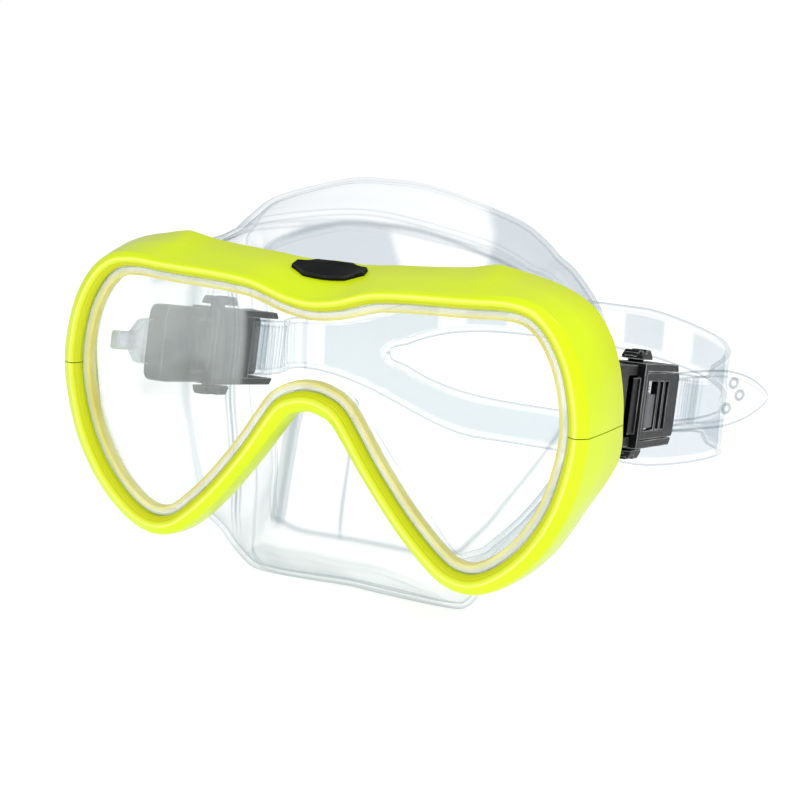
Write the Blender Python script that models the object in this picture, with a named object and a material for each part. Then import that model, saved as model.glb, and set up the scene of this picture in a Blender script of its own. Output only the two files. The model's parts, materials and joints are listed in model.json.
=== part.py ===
"""Snorkel mask: framed single lens, silicone skirt, swivel buckles and split head strap.

Design coordinates are millimetres: x towards the wearer's left, y back towards the wearer, z up.
y = 0 is the frame's front inner edge and z = 0 the height of the frame's side seams. at() turns
them into metres from the object's origin, the centre of the glass's rear face.
Inside a buckle they are x outwards, y rearwards and z up from its pivot, on the wearer's left.
"""
import math

import bmesh
import bpy
import numpy as np
from mathutils import Vector

MM = 0.001
GAP = 0.3                      # clearance between neighbouring pieces

# The opening in the frame, from the middle of the brow round one side to the nose arch:
# x, z, width of the rim at the front, spread of its rear edge, depth.
RIM = (
    (0, 23.7, 3.6, 11.8, 17),
    (9, 25.0, 3.6, 10.6, 17),
    (18, 27.8, 3.6, 8.3, 17),
    (29, 28.9, 3.6, 7.9, 17),
    (40, 29.3, 3.6, 8.6, 17),
    (48, 29.7, 3.7, 9.7, 16.7),
    (55, 30.1, 3.9, 7.8, 17.5),
    (61.5, 29.0, 4.3, 7.2, 18),
    (66.6, 24.6, 4.8, 9.3, 18.5),
    (70.8, 17, 5.1, 9.6, 19.5),
    (73.2, 8, 5.3, 9.3, 20),
    (74, 0, 5.4, 9.2, 20),
    (73, -9, 5.5, 9.7, 20),
    (70, -20, 5.6, 7.4, 14.5),
    (64.5, -30.3, 5.6, 7.2, 11),
    (57.5, -38, 5.5, 7.0, 9.5),
    (51, -41.9, 5.4, 6.7, 9),
    (45.5, -42, 5.3, 6.5, 9),
    (40, -38.9, 5.0, 6.2, 8.5),
    (30.5, -29.6, 4.8, 5.8, 8.5),
    (20, -16.3, 4.8, 5.8, 8),
    (11.5, -3.7, 5.3, 6.2, 8),
    (6, 0.2, 5.6, 6.4, 8),
    (0, 1.4, 5.5, 6.4, 8),
)
SEAM = 11                      # the RIM row at the side seam
RIM_STEPS = 2                  # points along each RIM row's stretch

LENS_FRONT = 4.6
LENS_THICKNESS = 3.5
LENS_BACK = LENS_FRONT + LENS_THICKNESS
LENS_INSET = 0.6               # the glass's edge inside the opening's edge
LENS_CENTRE_Z = 12.5
CREST = (2.6, -1.8)            # the frame's rounded front edge: offset outwards, y
SHOULDER_Y = 0.2               # where the frame's outer face begins
FRAME_LIP = 2.2                # back of the lip that holds the ring
FRAME_WALL = 1.8
RING_PROFILE = ((-2.6, 0.9), (-0.35, 0.9), (-0.35, 2.55), (1.9, 2.55), (1.9, 4.2), (-2.6, 4.2))

# The skirt's middle surface at chosen RIM rows: behind the frame, fold, bulge, rear edge, inner edge.
SKIRT = (
    (0, (0, 18, 31), (0, 34, 46), (0, 42, 50.5), (0, 50, 54), (0, 44, 40)),
    (2, (17, 18, 32), (16, 34.5, 44.5), (16, 43, 49), (16, 51, 52.5), (15, 45, 39)),
    (4, (39, 18.5, 33.5), (38, 37, 40), (40, 46, 43), (41, 55, 44), (36, 50, 32)),
    (5.5, (49.5, 18.7, 32.6), (47, 39.5, 35.3), (48.5, 49, 36.6), (48.5, 58.5, 36.6), (41.5, 54, 28.5)),
    (7, (60, 19, 31), (54, 42, 32), (55, 52, 32), (54, 62, 31), (46, 58, 25)),
    (9, (68, 20, 20), (61, 50, 18), (61, 62, 18), (59, 73, 18), (50, 69, 14)),
    (11, (70, 20, 0), (64, 52, 0), (62.5, 68, 0), (61, 80, 0), (51, 76, 0)),
    (13, (67.5, 18, -19), (61, 46, -20), (60, 60, -22), (59, 74, -22), (49, 70, -18)),
    (15, (58, 14, -37), (56, 32, -41), (55, 45, -45), (53, 58, -47), (43, 55, -38)),
    (17, (46, 13, -42), (46, 24, -50), (45, 32, -57), (43, 41, -61), (35, 42, -48)),
    (18, (39.5, 12.5, -40), (34, 19, -47), (34, 24, -58), (37, 40, -66), (28, 42, -50)),
    (20, (20, 12, -17.5), (18, 9.5, -31), (19, 10, -49), (28, 40, -68), (21, 43, -52)),
    (22, (6, 12, -1), (7, 7.5, -15), (8, 3, -46), (14, 40, -67.5), (11, 43, -52)),
    (23, (0, 12, 0.2), (0, 7, -14), (0, 1.5, -45), (0, 40, -67), (0, 43, -52)),
)
SKIRT_COLLAR = 1.1             # the collar's offset outside the opening's edge
SKIRT_THICKNESS = 1.6
SKIRT_ROUND = 48               # points round the skirt
SKIRT_STEPS = 2                # rings in each of its zones

# Plan of the rear strap, from the gap at a buckle's strap end to the middle of the back: x, y, middle z.
STRAP_BACK = (
    (76.6, 141, -21),
    (78.6, 150, -21.8),
    (76.5, 156.5, -22.4),
    (69, 159.5, -23),
    (54, 163, -23.6),
    (34, 167.5, -24.2),
    (15, 169.7, -24.5),
    (0, 170, -24.5),
)
STRAP_THICKNESS = 2.0
STRAP_SHIFT = 18               # the wearer's left end is pulled through further, so the middle sits off centre
STRAP_COLUMNS = 44
BAND_HALF = 28.8               # half height over both bands
BAND_END_HALF = 10
BAND_TAPER = (30, 95)          # the height falls between these lengths from the middle
SLOT_HALF_LENGTH = 66
SLOT_HALF = 13
SLOT_END_HALF = 2.5

BADGE_ROWS = 1.28              # RIM rows each side of the middle
BADGE_Y = 11.2
BADGE_HALF_DEPTH = 3.7
BADGE_FOOT = 0.5               # its underside above the brow
BADGE_TOP = 1.5

# Buckles
PIVOT = (71.5, 58, -4.4)
PITCH = math.radians(-11.3)    # the buckle's rear end hangs low
PIN_PLAY = 0.15                # a hole's radius beyond its pin's
ARM_INNER = 10.3
ARM_OUTER = 12.6
ARM_REAR = 48.5                # the arms' rear ends
HOUSING = (-5.5, 4.7)          # the housing's inner and outer faces
GATE_FACES = (2.4, 4.6)
GATE_HINGE = (3.5, 11)
GATE_FRONT = 10.0              # the ladder's front edge, near enough to its hinge to clear the housing
ROLLER = (-1.1, 20)
ROLLER_RADIUS = 1.3
PAWL_HINGE = (3.5, 14.6)
BUTTON = (-0.6, 13.6)
BUTTON_NECK = 2.4
PIVOT_RADIUS = 1.5
PIN_RADIUS = 0.6
PAWL_PIN_RADIUS = 0.5
STRAP_END_THICKNESS = 1.6
STRAP_END_HALF = 9.7

COLOURS = {
    "frame_yellow": ((0.80, 1.0, 0.02, 1), 0.25, 0),
    "clear_plastic": ((0.93, 0.96, 0.97, 0.4), 0.1, 0),
    "tempered_glass": ((0.94, 0.98, 0.98, 0.3), 0.03, 0),
    "clear_silicone": ((0.92, 0.95, 0.96, 0.5), 0.3, 0),
    "black_plastic": ((0.03, 0.032, 0.035, 1), 0.4, 0),
    "steel": ((0.6, 0.6, 0.62, 1), 0.3, 1),
}


def at(x, y, z):
    """A design point in metres from the object's origin."""
    return Vector((x, y - LENS_BACK, z - LENS_CENTRE_Z)) * MM


def clear_scene():
    for obj in list(bpy.data.objects):
        bpy.data.objects.remove(obj)


def material(name, slot):
    """A Principled material of the piece's own."""
    colour, roughness, metallic = COLOURS[slot]
    made = bpy.data.materials.new(name + "_" + slot)
    made.use_nodes = True
    shader = made.node_tree.nodes["Principled BSDF"]
    shader.inputs["Base Color"].default_value = (*colour[:3], 1)
    shader.inputs["Alpha"].default_value = colour[3]
    shader.inputs["Roughness"].default_value = roughness
    shader.inputs["Metallic"].default_value = metallic
    return made


def link(name, mesh, slot, sharp=math.radians(35)):
    mesh.materials.append(material(name, slot))
    mesh.shade_smooth()
    mesh.set_sharp_from_angle(angle=sharp)
    obj = bpy.data.objects.new(name, mesh)
    bpy.context.scene.collection.objects.link(obj)
    return obj


def mesh_from(name, vertices, faces):
    """A mesh with its faces turned outwards."""
    mesh = bpy.data.meshes.new(name)
    mesh.from_pydata([tuple(v) for v in vertices], [], faces)
    bm = bmesh.new()
    bm.from_mesh(mesh)
    bmesh.ops.recalc_face_normals(bm, faces=bm.faces)
    bm.to_mesh(mesh)
    bm.free()
    return mesh


def loft(name, rings, closed_along):
    """Skin closed rings in order: a loop of them, or a run with a flat cap at each end."""
    count = len(rings[0])
    vertices = [point for ring in rings for point in ring]
    faces = []
    spans = len(rings) if closed_along else len(rings) - 1
    for i in range(spans):
        here = i * count
        there = (i + 1) % len(rings) * count
        for j in range(count):
            k = (j + 1) % count
            faces.append((here + j, here + k, there + k, there + j))
    if not closed_along:
        faces.append(tuple(range(count)))
        faces.append(tuple(range((len(rings) - 1) * count, len(rings) * count)))
    return mesh_from(name, vertices, faces)


def loop_curve(knots, points, period, where):
    """A smooth closed curve through points at the given knots."""
    count = len(knots)
    times = [knots[i % count] + period * (i // count) for i in range(-1, count + 3)]
    values = [np.array(points[i % count], float) for i in range(-1, count + 3)]
    i = max(n for n in range(1, count + 1) if times[n] <= where + 1e-9)
    span = times[i + 1] - times[i]
    start = (values[i + 1] - values[i - 1]) / (times[i + 1] - times[i - 1]) * span
    end = (values[i + 2] - values[i]) / (times[i + 2] - times[i]) * span
    t = (where - times[i]) / span
    return (values[i] * (2 * t**3 - 3 * t**2 + 1) + start * (t**3 - 2 * t**2 + t)
            + values[i + 1] * (3 * t**2 - 2 * t**3) + end * (t**3 - t**2))


RIM_PERIOD = 2 * (len(RIM) - 1)


def rim_at(where):
    """Opening point x, z, front width, rear spread, depth, and the outward direction, at a row number."""
    half = [np.array(row, float) for row in RIM]
    mirrored = [row * (-1, 1, 1, 1, 1) for row in half[-2:0:-1]]
    knots = list(range(RIM_PERIOD))
    row = loop_curve(knots, half + mirrored, RIM_PERIOD, where)
    step = 0.05
    ahead = loop_curve(knots, half + mirrored, RIM_PERIOD, (where + step) % RIM_PERIOD)
    behind = loop_curve(knots, half + mirrored, RIM_PERIOD, (where - step) % RIM_PERIOD)
    along = ahead[:2] - behind[:2]
    outward = np.array((-along[1], along[0])) / np.hypot(*along)
    return row, outward


def rim_section(where, profile):
    """Points of a section across the rim: profile holds offsets outwards and y."""
    row, outward = rim_at(where)
    return [at(row[0] + outward[0] * d, y, row[1] + outward[1] * d) for d, y in profile]


def frame_profile(where):
    row, _ = rim_at(where)
    width, spread, depth = row[2:]
    return ((0, 0), (CREST[0] * 0.35, CREST[1] * 0.75), CREST, (width, SHOULDER_Y), (spread, depth),
            (spread - FRAME_WALL, depth), (width - 1, FRAME_LIP + 0.1), (0, FRAME_LIP))


def rim_loop(name, profile, slot):
    wheres = np.arange(0, RIM_PERIOD, 1 / RIM_STEPS)
    return link(name, loft(name, [rim_section(w, profile) for w in wheres], True), slot)


def frame_half(name, first, last, seam_shift):
    """A moulded half of the frame between the side seams, set back from them by half a gap."""
    count = int((last - first) * RIM_STEPS)
    wheres = [(first + i / RIM_STEPS) % RIM_PERIOD for i in range(count + 1)]
    rings = [rim_section(w, frame_profile(w)) for w in wheres]
    for ring in (rings[0], rings[-1]):
        for point in ring:
            point.z = at(0, 0, seam_shift).z
    link(name, loft(name, rings, False), "frame_yellow")


def build_frame():
    frame_half("upper_frame", -SEAM, SEAM, GAP / 2)
    frame_half("lower_frame", SEAM, RIM_PERIOD - SEAM, -GAP / 2)


def build_lens():
    wheres = np.arange(0, RIM_PERIOD, 1 / RIM_STEPS)
    rings = []
    for y in (LENS_FRONT, LENS_BACK):
        rings.append([rim_section(w, ((-LENS_INSET, y),))[0] for w in wheres])
    link("lens", loft("lens", rings, False), "tempered_glass")


def build_skirt():
    """One sheet from the lens collar to the face seal, with the nose pocket, given its thickness."""
    knots = [row[0] for row in SKIRT]
    knots += [RIM_PERIOD - k for k in knots[-2:0:-1]]
    zones = []
    for zone in range(1, len(SKIRT[0])):
        half = [np.array(row[zone], float) for row in SKIRT]
        zones.append(half + [p * (-1, 1, 1) for p in half[-2:0:-1]])
    columns = []
    for i in range(SKIRT_ROUND):
        where = i * RIM_PERIOD / SKIRT_ROUND
        row, outward = rim_at(where)
        collar = (row[0] + outward[0] * SKIRT_COLLAR, row[1] + outward[1] * SKIRT_COLLAR)
        line = [np.array((collar[0], y, collar[1])) for y in (LENS_FRONT, LENS_FRONT + 5)]
        line += [loop_curve(knots, zone, RIM_PERIOD, where) for zone in zones]
        columns.append(line)
    rings = []
    for zone in range(len(columns[0]) - 1):
        for step in range(SKIRT_STEPS if zone else 1):
            t = step / (SKIRT_STEPS if zone else 1)
            rings.append([at(*(line[zone] * (1 - t) + line[zone + 1] * t)) for line in columns])
    rings.append([at(*line[-1]) for line in columns])
    vertices = [p for ring in rings for p in ring]
    faces = []
    for i in range(len(rings) - 1):
        for j in range(SKIRT_ROUND):
            k = (j + 1) % SKIRT_ROUND
            faces.append((i * SKIRT_ROUND + j, i * SKIRT_ROUND + k,
                          (i + 1) * SKIRT_ROUND + k, (i + 1) * SKIRT_ROUND + j))
    mesh = bpy.data.meshes.new("skirt")
    mesh.from_pydata([tuple(v) for v in vertices], [], faces)
    obj = link("skirt", mesh, "clear_silicone")
    wall = obj.modifiers.new("wall", "SOLIDIFY")
    wall.thickness = SKIRT_THICKNESS * MM
    wall.offset = 0
    wall.use_even_offset = True
    wall.thickness_clamp = 1
    return obj


def brow_point(where, y, lift):
    """A point above the frame's sloping outer face."""
    row, outward = rim_at(where % RIM_PERIOD)
    width, spread, depth = row[2:]
    slope = math.atan2(spread - width, depth - SHOULDER_Y)
    d = width + (y - SHOULDER_Y) * math.tan(slope) + lift * math.cos(slope)
    return at(row[0] + outward[0] * d, y - lift * math.sin(slope), row[1] + outward[1] * d)


def build_badge():
    """A plain six-sided plaque that follows the brow."""
    rings = []
    for i in range(9):
        across = i / 4 - 1
        half = BADGE_HALF_DEPTH * min(1, 1.9 - 1.5 * abs(across))
        corners = ((-half, BADGE_FOOT), (half, BADGE_FOOT), (half, BADGE_TOP), (-half, BADGE_TOP))
        rings.append([brow_point(across * BADGE_ROWS, BADGE_Y + y, lift) for y, lift in corners])
    link("brow_badge", loft("brow_badge", rings, False), "black_plastic")


def band_section(point, along, middle, half, thickness):
    """Four corners of a flat band's section: point and along are in plan."""
    side = np.array((along[1], -along[0])) / np.hypot(*along) * thickness / 2
    corners = []
    for sign, z in ((-1, -half), (1, -half), (1, half), (-1, half)):
        corners.append((point[0] + side[0] * sign, point[1] + side[1] * sign, middle + z))
    return corners


def strap_columns():
    """Places at even spacing along the rear strap: x, y, middle z, direction in plan, distance from its middle."""
    half = [np.array(row, float) for row in STRAP_BACK]
    rows = half + [row * (-1, 1, 1) for row in half[-2::-1]]
    fine = []
    for i in range(len(rows) - 1):
        before = rows[max(i - 1, 0)]
        after = rows[min(i + 2, len(rows) - 1)]
        for t in np.arange(0, 1, 0.125):
            bulge = (rows[i] + rows[i + 1] - before - after) * t * (1 - t) / 4
            fine.append(rows[i] * (1 - t) + rows[i + 1] * t + bulge)
    fine.append(rows[-1])
    lengths = [0.0]
    for a, b in zip(fine, fine[1:]):
        lengths.append(lengths[-1] + math.dist(a[:2], b[:2]))
    columns = []
    for i in range(STRAP_COLUMNS):
        length = lengths[-1] * i / (STRAP_COLUMNS - 1)
        place = [np.interp(length, lengths, [row[axis] for row in fine]) for axis in range(3)]
        ahead = [np.interp(length + 1, lengths, [row[axis] for row in fine]) for axis in range(2)]
        behind = [np.interp(length - 1, lengths, [row[axis] for row in fine]) for axis in range(2)]
        along = (ahead[0] - behind[0], ahead[1] - behind[1])
        columns.append((place, along, lengths[-1] / 2 - length - STRAP_SHIFT))
    return columns


def band_half_height(distance):
    t = (abs(distance) - BAND_TAPER[0]) / (BAND_TAPER[1] - BAND_TAPER[0])
    t = min(max(t, 0), 1)
    return BAND_HALF + (BAND_END_HALF - BAND_HALF) * t * t * (3 - 2 * t)


def slot_half_height(distance):
    """Half height of the pointed oval slot, never less than its blunt ends."""
    t = min(abs(distance) / SLOT_HALF_LENGTH, 1)
    return max(SLOT_HALF * (1 - t**3.5), SLOT_END_HALF)


def build_head_strap():
    """The wide band round the back of the head, split in two by its long slot."""
    columns = strap_columns()
    vertices = []
    for (x, y, middle), along, distance in columns:
        side = np.array((along[1], -along[0])) / np.hypot(*along) * STRAP_THICKNESS / 2
        band = band_half_height(distance)
        slot = slot_half_height(distance)
        for sign in (-1, 1):
            for level in (-band, -slot, slot, band):
                vertices.append(at(x + side[0] * sign, y + side[1] * sign, middle + level))
    open_spans = [max(abs(a[2]), abs(b[2])) < SLOT_HALF_LENGTH for a, b in zip(columns, columns[1:])]
    faces = []
    for i, is_open in enumerate(open_spans):
        here = i * 8
        there = here + 8
        for side in (0, 4):
            for level in (0, 2) if is_open else (0, 1, 2):
                a = side + level
                faces.append((here + a, here + a + 1, there + a + 1, there + a))
        for level in (0, 1, 2, 3) if is_open else (0, 3):
            faces.append((here + level, here + level + 4, there + level + 4, there + level))
    last = (len(columns) - 1) * 8
    for end in (0, last):
        for level in (0, 1, 2):
            faces.append((end + level, end + level + 1, end + level + 5, end + level + 4))
    first_open = open_spans.index(True) * 8
    last_open = (len(open_spans) - open_spans[::-1].index(True)) * 8
    for end in (first_open, last_open):
        faces.append((end + 1, end + 2, end + 6, end + 5))
    link("head_strap", mesh_from("head_strap", vertices, faces), "clear_silicone")


def cut(obj, cutter, operation="DIFFERENCE"):
    """Take the cutter's shape out of obj, or join it on, and hide the cutter."""
    if not cutter.users_collection:
        bpy.context.scene.collection.objects.link(cutter)
    cutter.display_type = "WIRE"
    cutter.hide_render = True
    boolean = obj.modifiers.new(cutter.name, "BOOLEAN")
    boolean.operation = operation
    boolean.object = cutter


class Buckle:
    """One side's buckle: builds on the wearer's left and mirrors for the right."""

    def __init__(self, prefix, side):
        self.prefix = prefix
        self.side = side
        self.pivot = bpy.data.objects.new(prefix + "_buckle_pivot", None)
        bpy.context.scene.collection.objects.link(self.pivot)
        self.pivot.location = at(PIVOT[0] * side, PIVOT[1], PIVOT[2])
        self.pivot.rotation_euler = (PITCH, 0, 0)

    def place(self, name, vertices, faces, slot, axis=(0, 0)):
        """Make a piece from buckle coordinates, its origin on a vertical axis at x, y."""
        moved = [Vector(((x - axis[0]) * self.side, y - axis[1], z)) * MM for x, y, z in vertices]
        obj = link(self.prefix + "_" + name, mesh_from(name, moved, faces), slot)
        obj.parent = self.pivot
        obj.location = Vector((axis[0] * self.side, axis[1], 0)) * MM
        return obj

    def prism(self, name, outline, low_x, high_x, slot, axis=(0, 0)):
        """A plate across x with a y, z outline."""
        count = len(outline)
        vertices = [(x, y, z) for x in (low_x, high_x) for y, z in outline]
        return self.place(name, vertices, prism_faces(count), slot, axis)

    def column(self, name, outline, low_z, high_z, slot, axis=(0, 0)):
        """A column up z with an x, y outline."""
        count = len(outline)
        vertices = [(x, y, z) for z in (low_z, high_z) for x, y in outline]
        return self.place(name, vertices, prism_faces(count), slot, axis)

    def rod(self, name, centre, radius, half_length, slot, count=12):
        return self.column(name, circle(centre, radius, count), -half_length, half_length, slot, centre)

    def drill(self, obj, centre, radius, count=12):
        """A vertical hole through everything at x, y."""
        name = "drill_" + obj.name + "_" + str(len(obj.modifiers))
        cutter = self.rod(name, centre, radius, 30, "steel", count)
        cut(obj, cutter)

    def window(self, obj, low_y, high_y, half_z):
        """A rectangular opening through a plate."""
        outline = rectangle(low_y, high_y, -half_z, half_z)
        cutter = self.prism("window_" + obj.name + str(low_y), outline, -20, 20, "steel")
        cut(obj, cutter)

    def bracket(self):
        """The arm behind the frame, widening into a fork whose cheeks hold the pivot pin."""
        plate = self.prism("buckle_bracket", (
            (-22, -12), (3.5, -12), (3.5, -8.5), (-6, -8.5), (-6, 8.5), (3.5, 8.5), (3.5, 12), (-22, 12),
            (-24, 8), (-24, -8)), -3.2, 3.2, "black_plastic")
        arm = self.prism("bracket_arm", rectangle(-40.5, -20, -6.5, 6.5), 1.6, 4.0, "black_plastic")
        cut(plate, arm, "UNION")
        self.window(plate, -19, -10, 6.5)
        self.drill(plate, (0, 0), PIVOT_RADIUS + PIN_PLAY)
        self.rod("pivot_pin", (0, 0), PIVOT_RADIUS, 11.9, "steel")

    def body(self):
        """The housing: knuckle on the pin, inner plate, and two arms that reach rearwards."""
        plate = self.prism("buckle_body", (
            (6.5, -ARM_OUTER), (47, -ARM_OUTER), (ARM_REAR, -ARM_OUTER + 1.5), (ARM_REAR, -ARM_INNER),
            (9.4, -ARM_INNER), (9.4, ARM_INNER), (ARM_REAR, ARM_INNER), (ARM_REAR, ARM_OUTER - 1.5),
            (47, ARM_OUTER), (6.5, ARM_OUTER)),
            *HOUSING, "black_plastic")
        knuckle = self.column("knuckle", (
            *arc((0, 0), 3.4, 180, 360, 8), (3.4, 8), (-3.4, 8)), -8.2, 8.2, "black_plastic")
        cut(plate, knuckle, "UNION")
        inner = self.prism("inner_plate", rectangle(8, 31, -11.5, 11.5), HOUSING[0] + 0.1, HOUSING[0] + 0.9,
                           "black_plastic")
        cut(plate, inner, "UNION")
        self.drill(plate, (0, 0), PIVOT_RADIUS + PIN_PLAY)
        self.drill(plate, ROLLER, PIN_RADIUS + PIN_PLAY)
        self.drill(plate, GATE_HINGE, PIN_RADIUS + PIN_PLAY)
        self.drill(plate, BUTTON, BUTTON_NECK + GAP, 16)

    def tube(self, name, centre, outer, inner, half_length, slot, count=16):
        """A round tube about a vertical axis."""
        vertices = []
        for radius, z in ((outer, -half_length), (outer, half_length), (inner, half_length), (inner, -half_length)):
            vertices += [(x, y, z) for x, y in circle(centre, radius, count)]
        faces = []
        for band in range(4):
            for j in range(count):
                k = (j + 1) % count
                low = band * count
                high = (band + 1) % 4 * count
                faces.append((low + j, low + k, high + k, high + j))
        return self.place(name, vertices, faces, slot, centre)

    def roller(self):
        self.tube("strap_roller", ROLLER, ROLLER_RADIUS, PIN_RADIUS + PIN_PLAY, 9.9, "black_plastic")
        self.rod("roller_axle", ROLLER, PIN_RADIUS, 12.3, "steel")

    def gate(self):
        """The ladder: rails, cross bars and the solid rear bar, on its hinge pin."""
        plate = self.prism("ladder_gate", (
            (GATE_FRONT, -10), (49.8, -10), (51, -8.8), (51, 8.8), (49.8, 10), (GATE_FRONT, 10)),
            *GATE_FACES, "black_plastic", GATE_HINGE)
        for low, high in ((12.6, 24.6), (26.8, 31.4), (33.6, 38.2)):
            self.window(plate, low, high, 7.4)
        self.drill(plate, GATE_HINGE, PIN_RADIUS + PIN_PLAY)
        self.drill(plate, PAWL_HINGE, PAWL_PIN_RADIUS + PIN_PLAY)
        self.rod("gate_pin", GATE_HINGE, PIN_RADIUS, 12.3, "steel")
        self.rod("pawl_pin", PAWL_HINGE, PAWL_PIN_RADIUS, 9.8, "steel")

    def pawl(self):
        """The pawl in the gate's front window, its tooth over the strap's ribs."""
        x, y = PAWL_HINGE
        outline = (*arc((x, y), 1.0, 180, 360, 6), (x + 1.0, y + 4), (4.1, 24), (3.2, 24), (2.4, 23.2), (2.8, 20.5))
        pawl = self.column("locking_pawl", outline, -6.6, 3.4, "black_plastic", PAWL_HINGE)
        self.drill(pawl, PAWL_HINGE, PAWL_PIN_RADIUS + PIN_PLAY)
        self.coil("pawl_spring", PAWL_HINGE, 0.92, 0.2, 3.8, 6.6, 3)

    def coil(self, name, centre, radius, wire, low_z, high_z, turns):
        """A coil of round wire about a vertical axis."""
        per_turn = 10
        sides = 5
        vertices = []
        steps = turns * per_turn
        for i in range(steps + 1):
            angle = 2 * math.pi * i / per_turn
            middle = low_z + (high_z - low_z) * i / steps
            for j in range(sides):
                around = 2 * math.pi * j / sides
                reach = radius + wire * math.cos(around)
                vertices.append((centre[0] + reach * math.cos(angle), centre[1] + reach * math.sin(angle),
                                 middle + wire * math.sin(around)))
        faces = [tuple(range(sides)), tuple(range(steps * sides, (steps + 1) * sides))]
        for i in range(steps):
            for j in range(sides):
                k = (j + 1) % sides
                faces.append((i * sides + j, i * sides + k, (i + 1) * sides + k, (i + 1) * sides + j))
        self.place(name, vertices, faces, "steel", centre)

    def button(self, name, up):
        """A squeeze button: a long cap on a round neck that enters the arm."""
        cap_low = sorted((13.5 * up, 15.4 * up))
        outline = (*arc((BUTTON[0], 9.5), 3.2, 180, 360, 6), *arc((BUTTON[0], 20.5), 3.2, 0, 180, 6))
        cap = self.column(name, outline, cap_low[0], cap_low[1], "black_plastic", BUTTON)
        neck_low = sorted((10.7 * up, 14.9 * up))
        neck = self.column(name + "_neck", circle(BUTTON, BUTTON_NECK, 16), neck_low[0], neck_low[1],
                           "black_plastic", BUTTON)
        cut(cap, neck, "UNION")

    def strap_end(self):
        """The strap's end: in along the head side, round the roller, out under the gate as a rising tail."""
        turn = ROLLER_RADIUS + GAP + STRAP_END_THICKNESS / 2
        inner = ROLLER[0] - turn
        outer = ROLLER[0] + turn
        path = [(4.8, 81.5), (2.4, 70), (-0.3, 59), (-2.8, 48), (inner, 38), *arc(ROLLER, turn, 180, 360, 8)]
        path += [(outer, 38), (outer, 53.5), (4.6, 59.5), (10.2, 65), (18, 69.2), (25, 71.8), (29.5, 73.3)]
        halves = [STRAP_END_HALF] * (len(path) - 2) + [6.4, 2.2]
        rises = [0] * (len(path) - 6) + [0, 1.0, 2.2, 3.6, 4.8, 5.5]
        rings = []
        for i, point in enumerate(path):
            before = np.array(path[max(i - 1, 0)])
            after = np.array(path[min(i + 1, len(path) - 1)])
            rings.append(band_section(point, after - before, rises[i], halves[i], STRAP_END_THICKNESS))
        vertices = [corner for ring in rings for corner in ring]
        faces = [(0, 1, 2, 3), tuple(range(len(vertices) - 4, len(vertices)))]
        for i in range(len(rings) - 1):
            for j in range(4):
                k = (j + 1) % 4
                faces.append((i * 4 + j, i * 4 + k, i * 4 + 4 + k, i * 4 + 4 + j))
        self.place("strap_end", vertices, faces, "clear_silicone")

    def build(self):
        self.bracket()
        self.body()
        self.roller()
        self.gate()
        self.pawl()
        self.button("upper_button", 1)
        self.button("lower_button", -1)
        self.strap_end()


def prism_faces(count):
    """Faces of a prism whose first count vertices are one end and the next count the other."""
    faces = [tuple(range(count)), tuple(range(count, 2 * count))]
    for j in range(count):
        k = (j + 1) % count
        faces.append((j, k, count + k, count + j))
    return faces


def rectangle(low_a, high_a, low_b, high_b):
    return ((low_a, low_b), (high_a, low_b), (high_a, high_b), (low_a, high_b))


def arc(centre, radius, start, end, steps):
    """Points along an arc, in degrees."""
    points = []
    for i in range(steps + 1):
        angle = math.radians(start + (end - start) * i / steps)
        points.append((centre[0] + radius * math.cos(angle), centre[1] + radius * math.sin(angle)))
    return points


def circle(centre, radius, count):
    return arc(centre, radius, 0, 360, count)[:-1]


def main():
    clear_scene()
    build_frame()
    rim_loop("retaining_ring", RING_PROFILE, "clear_plastic")
    build_lens()
    build_skirt()
    build_badge()
    build_head_strap()
    Buckle("left", 1).build()
    Buckle("right", -1).build()


main()
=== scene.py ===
"""Snorkel mask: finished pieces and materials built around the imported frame.

Work is done in millimetres in the CAD's frame (x to the wearer's left, y back, z up, y = 0 the glass's
rear face) and turned into metres when a mesh is made. Outlines are read back from the CAD nodes.
"""
import json
import math

import bmesh
import bpy
import numpy as np
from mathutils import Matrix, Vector


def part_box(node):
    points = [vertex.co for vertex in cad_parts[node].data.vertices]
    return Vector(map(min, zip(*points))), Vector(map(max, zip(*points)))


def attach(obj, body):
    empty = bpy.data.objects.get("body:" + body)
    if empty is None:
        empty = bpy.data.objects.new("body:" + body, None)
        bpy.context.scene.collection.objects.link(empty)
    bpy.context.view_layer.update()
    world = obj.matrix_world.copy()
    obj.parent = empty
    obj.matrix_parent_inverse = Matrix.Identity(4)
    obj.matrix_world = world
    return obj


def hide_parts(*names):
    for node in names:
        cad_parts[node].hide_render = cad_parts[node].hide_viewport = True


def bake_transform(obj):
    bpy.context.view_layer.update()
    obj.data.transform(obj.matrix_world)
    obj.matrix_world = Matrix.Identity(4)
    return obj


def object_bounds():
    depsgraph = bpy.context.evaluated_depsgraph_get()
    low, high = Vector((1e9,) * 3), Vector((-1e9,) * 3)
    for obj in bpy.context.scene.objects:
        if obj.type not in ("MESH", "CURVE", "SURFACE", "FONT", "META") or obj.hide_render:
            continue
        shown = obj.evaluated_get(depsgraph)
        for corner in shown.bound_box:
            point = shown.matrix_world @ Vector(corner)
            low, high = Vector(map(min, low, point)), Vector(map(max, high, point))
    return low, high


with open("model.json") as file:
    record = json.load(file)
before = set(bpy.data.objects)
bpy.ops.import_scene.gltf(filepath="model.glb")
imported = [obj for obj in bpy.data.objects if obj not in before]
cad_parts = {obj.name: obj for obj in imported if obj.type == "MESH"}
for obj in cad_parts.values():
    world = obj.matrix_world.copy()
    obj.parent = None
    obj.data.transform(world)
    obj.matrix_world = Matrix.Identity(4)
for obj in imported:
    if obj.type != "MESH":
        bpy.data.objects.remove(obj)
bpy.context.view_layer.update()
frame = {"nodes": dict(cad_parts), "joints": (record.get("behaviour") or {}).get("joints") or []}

MM = 0.001
JOINTS = {joint["name"]: joint for joint in frame["joints"]}
SAME_LEVEL = 1e-2  # points this close in y or z lie on one level


# Reading outlines back from the CAD nodes

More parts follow.
